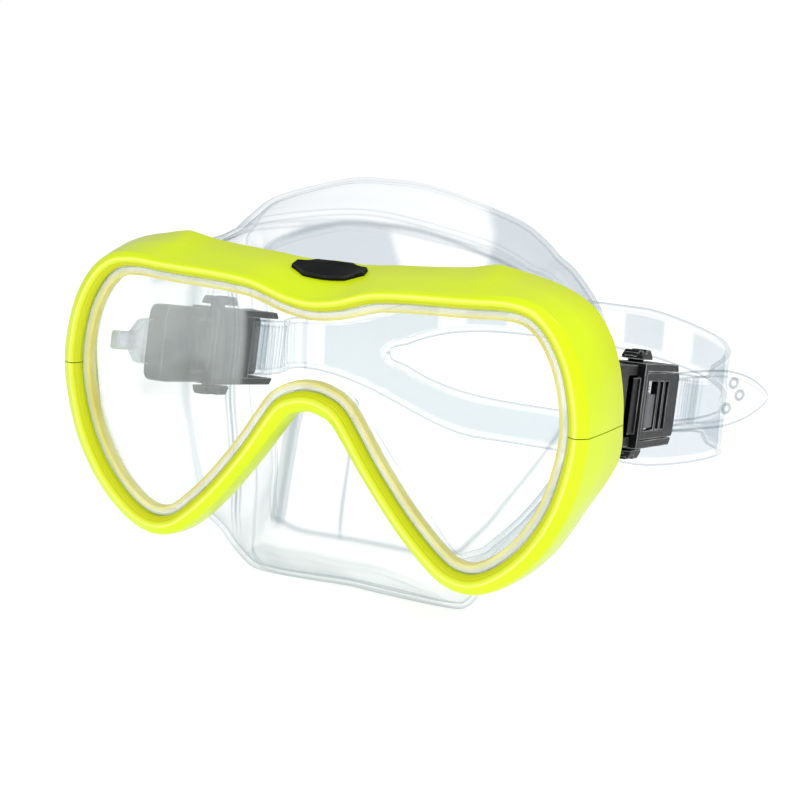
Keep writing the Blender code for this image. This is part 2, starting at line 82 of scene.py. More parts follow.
class Welded:
    """A CAD node's points in millimetres with their neighbours, its split corners joined."""

    def __init__(self, node):
        bm = bmesh.new()
        bm.from_mesh(frame["nodes"][node].data)
        bmesh.ops.remove_doubles(bm, verts=bm.verts, dist=1e-6)
        bm.verts.index_update()
        self.points = np.array([v.co for v in bm.verts]) / MM
        self.near = [{e.other_vert(v).index for e in v.link_edges} for v in bm.verts]
        bm.free()

    def levels(self, start):
        """Sets of point numbers by their number of steps from the start."""
        found = [set(start)]
        seen = set(start)
        while True:
            step = set().union(*(self.near[i] for i in found[-1])) - seen
            if not step:
                return found
            found.append(step)
            seen |= step

    def loop(self, members):
        """A closed loop of members in order, from its highest point at x = 0 towards +x."""
        start = max((i for i in members if abs(self.points[i][0]) < 1e-3), key=lambda i: self.points[i][2])
        first = max(self.near[start] & members, key=lambda i: self.points[i][0])
        order = [start, first]
        while True:
            step = (self.near[order[-1]] & members) - set(order)
            if not step:
                return order
            order.append(min(step, key=lambda i: math.dist(self.points[i], self.points[order[-1]])))


def parts_of(mesh, members):
    """Connected groups among members."""
    left = set(members)
    groups = []
    while left:
        group = {left.pop()}
        edge = set(group)
        while edge:
            edge = set().union(*(mesh.near[i] for i in edge)) & left
            group |= edge
            left -= edge
        groups.append(group)
    return groups


def hermite(a, b, slope_a, slope_b, t):
    """The point at t from 0 to 1 on the curve from a to b."""
    return (a * (2 * t**3 - 3 * t**2 + 1) + slope_a * (t**3 - 2 * t**2 + t)
            + b * (3 * t**2 - 2 * t**3) + slope_b * (t**3 - t**2))


def smooth_loop(rows, per):
    """A closed run of rows refined per times with smooth curves between."""
    rows = np.asarray(rows, float)
    slopes = (np.roll(rows, -1, 0) - np.roll(rows, 1, 0)) / 2
    after = np.roll(rows, -1, 0)
    after_slopes = np.roll(slopes, -1, 0)
    steps = [hermite(rows, after, slopes, after_slopes, k / per) for k in range(per)]
    return np.stack(steps, 1).reshape(len(rows) * per, *rows.shape[1:])


def run_slopes(rows, lengths, tension):
    """The slope at each row of an open run, from the rows beside it."""
    slopes = [(rows[1] - rows[0]) / lengths[0]]
    for i in range(1, len(rows) - 1):
        slopes.append(tension * (rows[i + 1] - rows[i - 1]) / (lengths[i - 1] + lengths[i]))
    slopes.append((rows[-1] - rows[-2]) / lengths[-1])
    return slopes


def fill_run(rows, slopes, lengths, counts):
    """An open run of rows refined by the given count in each span."""
    out = []
    for i, count in enumerate(counts):
        start, end = slopes[i] * lengths[i], slopes[i + 1] * lengths[i]
        out += [hermite(rows[i], rows[i + 1], start, end, k / count) for k in range(count)]
    out.append(rows[-1])
    return np.array(out)


def ramp(value, low, high):
    """0 below low, 1 above high, smooth between."""
    t = np.clip((value - low) / (high - low), 0, 1)
    return t * t * (3 - 2 * t)


def band(value, low, high, soft):
    """1 between low and high with soft edges."""
    return ramp(value, low - soft, low + soft) * (1 - ramp(value, high - soft, high + soft))


# Meshes

CREASE = 35  # degrees: faces meeting more sharply than this keep an edge
SOFT_CREASE = 60
FINE_CREASE = 30


def make_object(name, points, faces, material, smooth_angle=CREASE, attributes=None, spare=None):
    """An object from points in millimetres; spare holds a second material and the faces that take it."""
    mesh = bpy.data.meshes.new(name)
    mesh.from_pydata((np.asarray(points, float) * MM).tolist(), [], faces)
    for key, values in (attributes or {}).items():
        layer = mesh.attributes.new(key, "FLOAT", "POINT")
        layer.data.foreach_set("value", np.asarray(values, np.float32).ravel())
    mesh.materials.append(material)
    if spare:
        mesh.materials.append(spare[0])
        for i in spare[1]:
            mesh.polygons[i].material_index = 1
    bm = bmesh.new()
    bm.from_mesh(mesh)
    bmesh.ops.remove_doubles(bm, verts=bm.verts, dist=1e-7)
    bmesh.ops.recalc_face_normals(bm, faces=bm.faces)
    bm.to_mesh(mesh)
    bm.free()
    mesh.shade_smooth()
    mesh.set_sharp_from_angle(angle=math.radians(smooth_angle))
    obj = bpy.data.objects.new(name, mesh)
    bpy.context.scene.collection.objects.link(obj)
    return obj


def strip_faces(here, there):
    """Faces between two equal arrays of point numbers, along their last axis."""
    corners = np.stack((here[..., :-1], here[..., 1:], there[..., 1:], there[..., :-1]), -1)
    return corners.reshape(-1, 4).tolist()


def loft(name, rings, closed, material, smooth_angle=CREASE, attributes=None):
    """Skin equal closed rings, as a loop or with a flat cap at each end."""
    rings = np.asarray(rings, float)
    count, size = rings.shape[:2]
    number = np.arange(count * size).reshape(count, size)
    number = np.concatenate((number, number[:, :1]), 1)
    if closed:
        number = np.concatenate((number, number[:1]))
    faces = strip_faces(number[:-1], number[1:])
    if not closed:
        faces.append(tuple(range(size)))
        faces.append(tuple(range((count - 1) * size, count * size)))
    return make_object(name, rings.reshape(-1, 3), faces, material, smooth_angle, attributes)


def place_piece(obj, slot, *nodes):
    """Fix a piece to the mask and hide the CAD nodes it stands for; its slot is not used."""
    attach(obj, "mask")
    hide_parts(*nodes)


def rounded(corners, steps):
    """A closed outline with its corners rounded: corners hold a, b and radius."""
    out = []
    count = len(corners)
    for i in range(count):
        here = np.array(corners[i][:2], float)
        radius = corners[i][2]
        to_last = np.array(corners[i - 1][:2], float) - here
        to_next = np.array(corners[(i + 1) % count][:2], float) - here
        reach = min(np.hypot(*to_last), np.hypot(*to_next)) * 0.48
        back = to_last / np.hypot(*to_last)
        on = to_next / np.hypot(*to_next)
        cosine = float(np.clip(back @ on, -0.999, 0.999))
        cut = min(radius / math.tan(math.acos(cosine) / 2), reach)
        start = here + back * cut
        end = here + on * cut
        for k in range(steps + 1):
            t = k / steps
            out.append(start * (1 - t) ** 2 + here * 2 * t * (1 - t) + end * t * t)
    return out


# Materials

class Shader:
    """A node material with short calls for its nodes."""

    def __init__(self, name):
        self.material = bpy.data.materials.new(name)
        self.material.use_nodes = True
        self.tree = self.material.node_tree
        self.tree.nodes.clear()
        self.place = self.node("ShaderNodeTexCoord").outputs["Object"]

    def node(self, kind, settings=None, **inputs):
        """A node with its settings and inputs; input0 and so on name an input by its number."""
        made = self.tree.nodes.new(kind)
        for key, value in (settings or {}).items():
            setattr(made, key, value)
        for key, value in inputs.items():
            self.plug(made, key.replace("_", " "), value)
        return made

    def plug(self, made, key, value):
        socket = made.inputs[int(key[5:])] if key.startswith("input") else made.inputs[key]
        if isinstance(value, bpy.types.NodeSocket):
            self.tree.links.new(value, socket)
        elif isinstance(value, tuple) and len(value) == 3 and socket.type == "RGBA":
            socket.default_value = (*value, 1)
        else:
            socket.default_value = value

    def noise(self, scale, detail=3.0, rough=0.5, stretch=None):
        place = self.place
        if stretch:
            place = self.node("ShaderNodeMapping", Vector=place, Scale=stretch).outputs[0]
        made = self.node("ShaderNodeTexNoise", Vector=place, Scale=scale, Detail=detail, Roughness=rough)
        return made.outputs[0]

    def maths(self, operation, a, b, clamp=False):
        settings = {"operation": operation, "use_clamp": clamp}
        return self.node("ShaderNodeMath", settings, input0=a, input1=b).outputs[0]

    def spread(self, value, from_low, from_high, to_low, to_high):
        """The value moved from one range to another, held at its ends."""
        ends = {"From_Min": from_low, "From_Max": from_high, "To_Min": to_low, "To_Max": to_high}
        return self.node("ShaderNodeMapRange", Value=value, **ends).outputs[0]

    def mottle(self, noise, low=0, high=1):
        """Noise stretched to run from low to high."""
        return self.spread(noise, 0.3, 0.7, low, high)

    def blend(self, share, a, b):
        """Colour a where share is 0, b where it is 1."""
        made = self.node("ShaderNodeMix", {"data_type": "RGBA"}, Factor=share, input6=a, input7=b)
        return made.outputs[2]

    def bump(self, height, strength, distance, **more):
        made = self.node("ShaderNodeBump", Height=height, Strength=strength, Distance=distance, **more)
        return made.outputs[0]

    def grazing(self, power):
        """0 where a face looks at the eye, 1 where it is seen edge-on."""
        facing = self.node("ShaderNodeLayerWeight", Blend=0.5).outputs["Facing"]
        return self.maths("POWER", facing, power)

    def edge(self, radius):
        """1 on sharp edges, 0 on the flat of a face."""
        eased = self.node("ShaderNodeBevel", {"samples": 4}, Radius=radius).outputs[0]
        flat = self.node("ShaderNodeNewGeometry").outputs["Normal"]
        turn = self.node("ShaderNodeVectorMath", {"operation": "DOT_PRODUCT"}, input0=eased, input1=flat)
        return self.spread(turn.outputs["Value"], 0.995, 0.92, 0, 1)

    def reflecting(self, amount, share, least):
        """The part of a surface that reflects: the least, and a share of the amount on top."""
        return self.maths("ADD", self.maths("MULTIPLY", amount, share), least, True)

    def clear(self, colour):
        return self.node("ShaderNodeBsdfTransparent", Color=colour).outputs[0]

    def matt(self, colour, **more):
        return self.node("ShaderNodeBsdfDiffuse", Color=colour, **more).outputs[0]

    def gloss(self, colour, roughness, normal):
        made = self.node("ShaderNodeBsdfGlossy", Color=colour, Roughness=roughness, Normal=normal)
        return made.outputs[0]

    def solid(self, colour, roughness, **more):
        made = self.node("ShaderNodeBsdfPrincipled", Base_Color=colour, Roughness=roughness, **more)
        return made.outputs[0]

    def attribute(self, name):
        return self.node("ShaderNodeAttribute", {"attribute_name": name}).outputs["Fac"]

    def mix(self, share, a, b):
        """Surface a where share is 0, b where it is 1."""
        return self.node("ShaderNodeMixShader", Fac=share, input1=a, input2=b).outputs[0]

    def finish(self, surface):
        self.node("ShaderNodeOutputMaterial", Surface=surface)
        return self.material


# Linear colours
YELLOW_DEEP = (0.69, 0.88, 0.003)
YELLOW_BRIGHT = (0.74, 0.92, 0.006)
# Painted shade on the frame's inner bevel and rear wall
YELLOW_BEVEL_SHADE = (0.62, 0.68, 0.008)
# Painted highlight along the frame's crest
YELLOW_CREST_HIGHLIGHT = (0.95, 1.0, 0.25)
# Painted shade where the frame is seen edge-on
YELLOW_EDGE_ON_SHADE = (0.42, 0.50, 0.006)
SILICONE_CLEAR = (0.993, 0.996, 0.998)
SILICONE_GRAINED = (0.81, 0.84, 0.86)
# Painted shade for the silicone's outlines and folds
SILICONE_LINE = (0.60, 0.635, 0.66)
SILICONE_MILK = (0.93, 0.95, 0.96)
SILICONE_GLOSS = (0.98, 0.99, 1.0)
# Painted yellow of the frame, as if refracted through the silicone
SILICONE_REFRACTED_YELLOW = (0.74, 0.68, 0.12)
# Grey where skirt and strap are seen edge-on: partly their longer path, partly painted shade
SKIRT_EDGE_ON = (0.62, 0.66, 0.69)
STRAP_EDGE_ON = (0.80, 0.825, 0.84)
GLASS_CLEAN = (0.985, 0.995, 0.99)
GLASS_SMEARED = (0.965, 0.98, 0.975)
GLASS_EDGE_ON = (0.55, 0.66, 0.62)
GLASS_GLOSS = (0.97, 1.0, 0.99)
RING_CLEAR = (0.97, 0.98, 0.985)
# Painted shade where the ring is seen edge-on
RING_EDGE_ON = (0.55, 0.60, 0.64)
# Painted yellow of the frame, as if refracted through the ring
RING_REFRACTED_YELLOW_DEEP = (0.70, 0.62, 0.10)
RING_REFRACTED_YELLOW_PALE = (0.82, 0.78, 0.22)
LUG_CLEAR = (0.92, 0.935, 0.94)
LUG_EDGE_ON = (0.38, 0.43, 0.46)
# Painted highlight along the lug's edges
LUG_EDGE_HIGHLIGHT = (0.95, 0.955, 0.955)
STEEL_DARK = (0.45, 0.46, 0.48)
STEEL_PALE = (0.66, 0.67, 0.69)
FLOOR_DEEP = (0.95, 0.955, 0.96)
FLOOR_PALE = (0.97, 0.972, 0.975)
WHITE = (1.0, 1.0, 1.0)
MILKY_WHITE = (0.97, 0.975, 0.98)


def yellow_plastic():
    """Fluorescent yellow moulding: darker with painted shade on its bevel and towards its rear, paler with
    a painted highlight along its crest, darker with painted shade where it is seen edge-on.
    """
    s = Shader("frame_yellow_gloss")
    colour = s.blend(s.spread(s.noise(28, 2), 0.35, 0.65, 0, 1), YELLOW_DEEP, YELLOW_BRIGHT)
    # Painted shade on the inner bevel and towards the rear of the wall
    colour = s.blend(s.attribute("bevel"), colour, YELLOW_BEVEL_SHADE)
    # Painted highlight along the crest
    colour = s.blend(s.attribute("crest"), colour, YELLOW_CREST_HIGHLIGHT)
    # Painted shade where the frame is seen edge-on
    colour = s.blend(s.maths("MULTIPLY", s.grazing(2.6), 0.7), colour, YELLOW_EDGE_ON_SHADE)
    roughness = s.mottle(s.noise(55, 2), 0.27, 0.33)
    normal = s.bump(s.noise(2600, 1), 0.05, 0.00004)
    return s.finish(s.solid(colour, roughness, Normal=normal, Coat_Weight=0.15, Coat_Roughness=0.16,
                            Specular_IOR_Level=0.2))


def silicone(name, edge_on):
    """Clear silicone: passes light, greys with painted shade along its outlines, folds and rib edges, greys
    where seen edge-on partly from its longer path and partly with painted shade, bluer where moulded with a
    grain, painted with the frame's yellow where that shows refracted through it.
    """
    s = Shader(name)
    frost = s.attribute("frost")
    # Painted yellow of the frame, as if refracted through the silicone
    refracted_yellow = s.attribute("refracted_yellow")
    broad = s.noise(40, 3)
    grazing = s.grazing(4.2)
    through = s.blend(frost, SILICONE_CLEAR, SILICONE_GRAINED)
    # Painted grey shade along outlines, folds and rib edges
    through = s.blend(s.attribute("line"), through, SILICONE_LINE)
    # Grey where seen edge-on: partly the longer path through the silicone, partly painted shade
    through = s.blend(grazing, through, edge_on)
    through = s.blend(s.mottle(broad, 0.0, 0.03), through, edge_on)
    normal = s.bump(s.noise(600, 3, 0.6), 0.06, 0.0003, Normal=s.bump(broad, 0.2, 0.002))
    roughness = s.mottle(s.noise(300, 3), 0.10, 0.2)
    skin = s.mix(0.5, s.matt(SILICONE_MILK, Normal=normal), s.gloss(SILICONE_GLOSS, roughness, normal))
    body = s.mix(refracted_yellow, skin, s.matt(SILICONE_REFRACTED_YELLOW))
    cover = 0.01
    for amount, share in ((grazing, 0.16), (frost, 0.04), (s.attribute("milk"), 0.22), (refracted_yellow, 0.45)):
        cover = s.reflecting(amount, share, cover)
    return s.finish(s.mix(cover, s.clear(through), body))


def clear_cut():
    """The bonded face between two lengths of strap: nothing shows there."""
    s = Shader("strap_bond_clear")
    tone = s.spread(s.noise(50), 0, 1, 0.998, 1.0)
    colour = s.node("ShaderNodeCombineColor", Red=tone, Green=tone, Blue=tone).outputs[0]
    return s.finish(s.clear(colour))


def lens_glass():
    """Tempered glass: faint smears, greener where it is seen edge-on."""
    s = Shader("lens_tempered_glass")
    grazing = s.grazing(3.0)
    smear = s.mottle(s.noise(22, 4, 0.6))
    through = s.blend(s.maths("MULTIPLY", smear, 0.25), GLASS_CLEAN, GLASS_SMEARED)
    through = s.blend(grazing, through, GLASS_EDGE_ON)
    normal = s.bump(s.noise(8, 2), 0.02, 0.001)
    gloss = s.gloss(GLASS_GLOSS, s.spread(smear, 0, 1, 0.01, 0.05), normal)
    cover = s.reflecting(grazing, 0.5, 0.03)
    return s.finish(s.mix(cover, s.clear(through), gloss))


def ring_plastic():
    """The clear ring's polycarbonate: its inner wall is painted with the yellow of the frame round it, as
    if refracted, and it greys with painted shade where seen edge-on.
    """
    s = Shader("ring_clear_plastic")
    fine = s.noise(500, 2)
    grazing = s.grazing(3.0)
    # Painted grey shade where the ring is seen edge-on
    clear = s.clear(s.blend(grazing, RING_CLEAR, RING_EDGE_ON))
    gloss = s.gloss(WHITE, s.mottle(fine, 0.02, 0.1), s.bump(fine, 0.03, 0.0002))
    # Painted yellow of the frame, as if refracted through the ring's inner wall
    refracted_yellow = s.matt(s.blend(s.spread(s.noise(60, 3), 0.35, 0.65, 0, 1), RING_REFRACTED_YELLOW_DEEP, RING_REFRACTED_YELLOW_PALE))
    cover = s.reflecting(grazing, 0.4, 0.07)
    shell = s.mix(cover, s.mix(0.3, clear, s.matt(MILKY_WHITE)), gloss)
    return s.finish(s.mix(s.maths("MULTIPLY", s.attribute("refracted_yellow"), 0.8), shell, refracted_yellow))


def moulded_black(name, tone=0.005, rough=0.36, lift=0.50):
    """Black moulded plastic: fine grain, paler along its edges, partly from rubbed wear and partly a
    painted highlight.
    """
    s = Shader(name)
    grain = s.noise(1400, 3, 0.6)
    broad = s.noise(90, 3)
    # Paler edges: partly rubbed wear, partly a painted highlight where the edges catch the light
    worn_and_lit = s.maths("MULTIPLY", s.edge(0.0005), s.spread(broad, 0.35, 0.6, 0.3, 1.0), True)
    dark = (tone, tone * 1.05, tone * 1.12)
    pale = (tone * 1.9, tone * 2.0, tone * 2.1)
    colour = s.blend(s.mottle(broad), dark, pale)
    colour = s.blend(worn_and_lit, colour, (lift, lift * 1.03, lift * 1.05))
    roughness = s.mottle(grain, rough - 0.06, rough + 0.1)
    return s.finish(s.solid(colour, roughness, Normal=s.bump(grain, 0.12, 0.0003), Specular_IOR_Level=0.05))


def lug_plastic():
    """The bracket's clear lug, white along its edges with a painted highlight."""
    s = Shader("lug_clear_plastic")
    grain = s.noise(900, 3)
    grazing = s.grazing(1.8)
    gloss = s.gloss(WHITE, s.mottle(grain, 0.05, 0.2), s.bump(grain, 0.08, 0.0003))
    cover = s.reflecting(grazing, 0.5, 0.1)
    body = s.mix(cover, s.clear(s.blend(grazing, LUG_CLEAR, LUG_EDGE_ON)), gloss)
    # Painted white highlight along the lug's edges
    return s.finish(s.mix(s.maths("MULTIPLY", s.edge(0.0008), 0.85), body, s.matt(LUG_EDGE_HIGHLIGHT)))


def brushed_steel():
    """Steel drawn along its length."""
    s = Shader("steel_brushed")
    lines = s.noise(300, 3, 0.6, (1.0, 1.0, 12.0))
    colour = s.blend(s.mottle(lines), STEEL_DARK, STEEL_PALE)
    roughness = s.mottle(lines, 0.18, 0.36)
    return s.finish(s.solid(colour, roughness, Normal=s.bump(lines, 0.15, 0.0002), Metallic=1.0))


# The frame

SIDE_SHARE = 0.8  # beyond this share of its half width the frame is its side
RIM_FINE = 4  # fine rows to each CAD section of the rim
CREST_LEAD = 1.8  # how far the crest stands in front of the opening's edge
WALL_SWELL = 0.35


def by_depth(ring):
    """A section's points from front to rear."""
    return ring[np.argsort(ring[:, 1])]


def rim_sections():
    """Sections from the brow's middle all round: opening x and z, front width, rear width, rear y."""
    top, low = Welded("upper_frame"), Welded("lower_frame")
    seam_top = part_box("upper_frame")[0].z / MM
    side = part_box("upper_frame")[1].x / MM * SIDE_SHARE
    seam_low = max(p[2] for p in low.points if p[0] > side)
    rows = []
    for mesh, level in ((top, seam_top), (low, seam_low)):
        start = [i for i, p in enumerate(mesh.points) if abs(p[2] - level) < SAME_LEVEL and p[0] > side]
        rows.append([mesh.points[sorted(group)] for group in mesh.levels(start)])
    upper, lower = rows
    lower = lower[::-1]
    right = (by_depth(upper[-1]) + by_depth(lower[0])) / 2
    left = (by_depth(upper[0]) + by_depth(lower[-1])) / 2
    middle = len(upper) // 2
    around = upper[middle::-1][:-1] + [left] + lower[1:-1][::-1] + [right] + upper[middle + 1:-1][::-1]
    sections = []
    for ring in around:
        ring = by_depth(ring)
        opening, shoulder, rear = ring[2], ring[3], ring[6:]
        width, *spreads = (math.dist(p[[0, 2]], opening[[0, 2]]) for p in (shoulder, *rear))
        sections.append((opening[0], opening[2], width, max(spreads), rear[0][1]))
    return np.array(sections), seam_top, seam_low


SECTIONS, SEAM_TOP, SEAM_LOW = rim_sections()
RIM = smooth_loop(SECTIONS, RIM_FINE)
RIM_ALONG = np.roll(RIM[:, :2], -1, 0) - np.roll(RIM[:, :2], 1, 0)
RIM_OUT = np.stack((-RIM_ALONG[:, 1], RIM_ALONG[:, 0]), 1) / np.hypot(*RIM_ALONG.T)[:, None]
OPENING_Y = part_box("upper_frame")[0].y / MM + CREST_LEAD


def rim_point(i, offset, y):
    """The point at depth y and an offset outwards from the opening's edge, at fine row i."""
    i %= len(RIM)
    return (RIM[i, 0] + RIM_OUT[i, 0] * offset, y, RIM[i, 1] + RIM_OUT[i, 1] * offset)


def rim_ring(i, outline):
    """A section of offsets and depths behind the opening's edge, set at fine row i."""
    return [rim_point(i, d, OPENING_Y + v) for d, v in outline]


def frame_outline(i):
    """The frame's section: inner bevel with its step, rounded crest, sloping wall and hollow back."""
    width, spread, rear = RIM[i % len(RIM), 2:]
    depth = rear - OPENING_Y
    slope = (spread - width) / (depth - 0.2)
    bevel = ((0, 2.2, 0.15), (0, 0.1, 0.35), (0.62, -0.95, 0.3), (0.95, -1.02, 0.12), (1.12, -1.34, 0.12))
    crest = ((2.45, -1.95, 0.75), (3.1, -1.62, 1.2))
    swollen = depth * 0.45
    wall = ((width + 0.15, 0.0, 2.2), (width + slope * swollen + WALL_SWELL, swollen, 6.0),
            (spread, depth - 0.9, 0.9), (spread - 0.25, depth, 0.35))
    hollow = ((spread - 1.6, depth, 0.35), (width - 0.8, 2.5, 0.8))
    return rounded(bevel + crest + wall + hollow, 4)


def frame_piece(name, node, first, last, level, material):
    """One moulded part between the seams, its ends flat on the seam's level."""
    outlines = np.array([frame_outline(i) for i in range(first, last + 1)])
    rings = np.array([rim_ring(i, outline) for i, outline in zip(range(first, last + 1), outlines)])
    for end in (0, -1):
        rings[end][:, 2] = level
    offset, depth = outlines[..., 0], outlines[..., 1]
    # Painted shade: darker on the inner bevel and towards the rear of the wall
    bevel = (1 - ramp(offset, 1.5, 2.2)) * (1 - ramp(depth, 1.0, 1.6))
    painted_shade = np.maximum(bevel, 0.5 * ramp(depth, 8.0, 19.0))
    # Painted highlight along the crest
    crest = 0.8 * band(offset, 2.2, 2.7, 0.25) * (1 - ramp(depth, -1.5, -1.0))
    obj = loft(name, rings, False, material, 50, {"bevel": painted_shade, "crest": crest})
    place_piece(obj, "frame_yellow", node)


def seam_index(sign):
    """The fine row nearest the seam on one side."""
    middle = (SEAM_TOP + SEAM_LOW) / 2
    side = [i for i in range(len(RIM)) if RIM[i, 0] * sign > RIM[:, 0].max() * SIDE_SHARE]
    return min(side, key=lambda i: abs(RIM[i, 1] - middle))


def build_frame(material):
    """The yellow frame in two halves that meet at the seams."""
    left, right = seam_index(1), seam_index(-1)
    frame_piece("frame_upper", "upper_frame", right - len(RIM), left, SEAM_TOP, material)
    frame_piece("frame_lower", "lower_frame", left, right, SEAM_LOW, material)


def build_ring(material):
    """The clear ring: a lip inside the opening and a flange behind the frame's edge."""
    front, back = (corner.y / MM - OPENING_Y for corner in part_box("retaining_ring"))
    inner, lip, flange = -2.6, -0.35, 1.9
    step = 2.55
    ease = 0.9
    outline = rounded((
        (inner, front, 0.35), (lip, front, 0.3), (lip, step, 0.1), (flange, step, 0.2), (flange, back, 0.2),
        (inner, back, 0.2), (inner, back - ease, 0.1), (inner, front + ease, 0.1)), 3)
    offset, depth = np.array(outline).T
    # The inner wall, which takes the painted yellow of the frame
    wall = band(depth, front - 1.0, back - 0.5, 0.2) * (offset < inner + 1.0)
    rings = [rim_ring(i, outline) for i in range(len(RIM))]
    obj = loft("ring_clear", rings, True, material, attributes={"refracted_yellow": np.tile(wall, len(RIM))})
    place_piece(obj, "clear_plastic", "retaining_ring")


def build_lens(material):
    """The flat pane, its edge ground all round."""
    front, back = (corner.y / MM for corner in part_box("lens"))
    edge = -0.6
    bevel = 0.45
    rings = [[rim_point(i, d, y) for i in range(len(RIM))] for d, y in (
        (edge - bevel, front), (edge, front + bevel), (edge, back - bevel), (edge - bevel, back))]
    obj = loft("lens_pane", rings, False, material, FINE_CREASE)
    place_piece(obj, "tempered_glass", "lens")


# The skirt

COLLAR_REACH = 3.0
SKIRT_KNOTS = (0, 1, 3, 5, 7, 9, 11)  # the CAD rings that carry its shape
SKIRT_SPANS = (3, 4, 12, 14, 12, 14)  # fine rings between those
SKIRT_FINE = 6  # fine columns to each CAD column
SKIRT_COLUMNS = 48
SKIRT_TENSION = 0.9
CHEEK_PINCH = 0.13  # how much the skirt narrows beside the nose
FRONT_REACH = 0.25  # how far its front end runs on, in ring gaps
TIP_REACH = 0.4


def skirt_columns():
    """The skirt's middle surface as rings by columns, read from the CAD sheet's two layers."""
    mesh = Welded("skirt")
    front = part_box("lens")[0].y / MM
    start = [i for i, p in enumerate(mesh.points) if abs(p[1] - front) < SAME_LEVEL and in_collar(p)]
    levels = mesh.levels(start)
    pairs = [parts_of(mesh, level) for level in levels]
    for here, there in ((0, 1), (-1, -2)):
        pairs[here] = [{i for i in levels[here] if mesh.near[i] & group} for group in pairs[there]]
    rings = []
    for pair in pairs:
        loops = [mesh.points[mesh.loop(group)] for group in pair]
        rings.append(sum(loops) / len(loops))
    return np.array(rings)


def in_collar(point):
    """Whether a point lies close to the opening's edge."""
    gaps = np.hypot(RIM[:, 0] - point[0], RIM[:, 1] - point[2])
    return gaps.min() < COLLAR_REACH


def skirt_surface():
    """Fine middle surface, with each ring's place along the section from 0 to 6."""
    rings = skirt_columns()[list(SKIRT_KNOTS)]
    fine = [smooth_loop(ring, SKIRT_FINE) for ring in rings]
    lengths = [np.linalg.norm(b - a, axis=-1).mean() for a, b in zip(fine, fine[1:])]
    surface = fill_run(fine, run_slopes(fine, lengths, SKIRT_TENSION), lengths, SKIRT_SPANS)
    along = []
    for span, count in enumerate(SKIRT_SPANS):
        along += [span + k / count for k in range(count)]
    along.append(float(len(SKIRT_SPANS)))
    return surface, np.array(along)


def surface_normals(surface):
    """Unit normals of a surface of closed rings."""
    down = np.gradient(surface, axis=0)
    around = np.roll(surface, -1, 1) - np.roll(surface, 1, 1)
    normals = np.cross(down, around)
    normals /= np.linalg.norm(normals, axis=2)[..., None]
    return normals


def ring_line(v, where):
    """A thin line along the skirt at one of its rings."""
    return np.clip(1 - np.abs(v - where) / 0.075, 0, 1)


def skirt_panels(v, sided):
    """Grained panels above the brow: the middle one with leaning ends, and one at each side."""
    lean = 1.6 * (v - 2.4)
    middle = band(sided, -2.9 + lean, 1.8 - lean, 0.15) * band(v, 1.75, 2.78, 0.06)
    left = band(sided, 3.1 + 0.5 * (5 - v), 9.3, 0.12) * band(v, 2.2, 4.93, 0.06)
    right = band(sided, -9.3, -5.8, 0.15) * band(v, 2.2, 4.0, 0.06)
    return np.maximum(np.maximum(middle, left), right)


def skirt_relief(v, sided):
    """Height of the outer and inner faces over the middle surface, and the fields the silicone shows.

    v is the place along the section from 0 to 6, and sided counts columns from the brow's middle;
    each feature is a stretch of the two.
    """
    across = np.abs(sided)
    brow = band(across, -1, 12, 1)
    panel = skirt_panels(v, sided)
    strip = (band(sided, -22.95, -22.05, 0.1) + band(sided, 22.40, 22.52, 0.06)) * band(v, 1.7, 3.7, 0.08)
    base = band(v, 4.02, 4.12, 0.05) * band(across, 19.5, 25, 0.4)
    folds = (ring_line(v, 2 + 10 / 12) + ring_line(v, 3 + 2 / 14)) * brow
    turns = ring_line(v, 5.0) + ring_line(v, 5 + 12 / 14)
    sides = 0.6 * ring_line(v, 2.75) + ring_line(v, 4 + 1 / 12) + ring_line(v, 4.25)
    sides *= band(across, 8.5, 17, 1)
    ridge = 0.55 * band(v, 2.88, 3.12, 0.09) * brow + 0.35 * band(v, 4.9, 5.05, 0.08)
    inner = 0.8 - 0.42 * ramp(v, 4.6, 5.9) + 0.3 * band(v, 5.75, 5.95, 0.08)
    outer = inner + ridge - 0.35 * panel + 0.5 * strip + 0.3 * (folds + base)
    # Painted grey shade along the folds, the nose's base and sides, the turns and the nose strip
    line = np.clip(0.5 * folds + 0.35 * base + 0.55 * turns + 0.9 * sides + 0.5 * strip, 0, 1)
    shown = {"frost": np.clip(panel + strip, 0, 1), "line": line,
             "milk": band(v, 2.1, 4.6, 0.14) * band(across, 8.5, 13.5, 1),
             # Painted yellow of the frame, as if refracted through the silicone by the collar
             "refracted_yellow": band(v, 0.35, 1.0, 0.15) * band(across, 7, 15, 1.2)}
    return outer, inner, shown


def build_skirt(material):
    """Clear skirt with its collar, folds, grained panels, nose strips and thin face seal."""
    surface, along = skirt_surface()
    columns = surface.shape[1]
    turn = np.arange(columns) / columns
    v, sided = np.meshgrid(along, np.where(turn > 0.5, turn - 1, turn) * SKIRT_COLUMNS, indexing="ij")
    surface[..., 0] *= 1 - CHEEK_PINCH * band(np.abs(sided), 14.5, 18.5, 1.5) * ramp(v, 1.0, 2.2)
    normals = surface_normals(surface)
    outer, inner, shown = skirt_relief(v, sided)
    front = surface[0] - (surface[1] - surface[0]) * FRONT_REACH
    tip_way = surface[-1] - surface[-2]
    tip = surface[-1] + tip_way / np.linalg.norm(tip_way, axis=1)[:, None] * TIP_REACH
    out_side = surface + normals * outer[..., None]
    in_side = surface - normals * inner[..., None]
    rings = np.concatenate((front[None], out_side, tip[None], in_side[::-1]))
    plain = np.zeros((1, columns))
    masks = {key: np.concatenate((plain, field, plain, field[::-1])) for key, field in shown.items()}
    place_piece(loft("skirt_clear", rings, True, material, SOFT_CREASE, masks), "clear_silicone", "skirt")


# The strap
#
# A strap row holds a section's centre, upward direction, half height, half slot and half thickness.

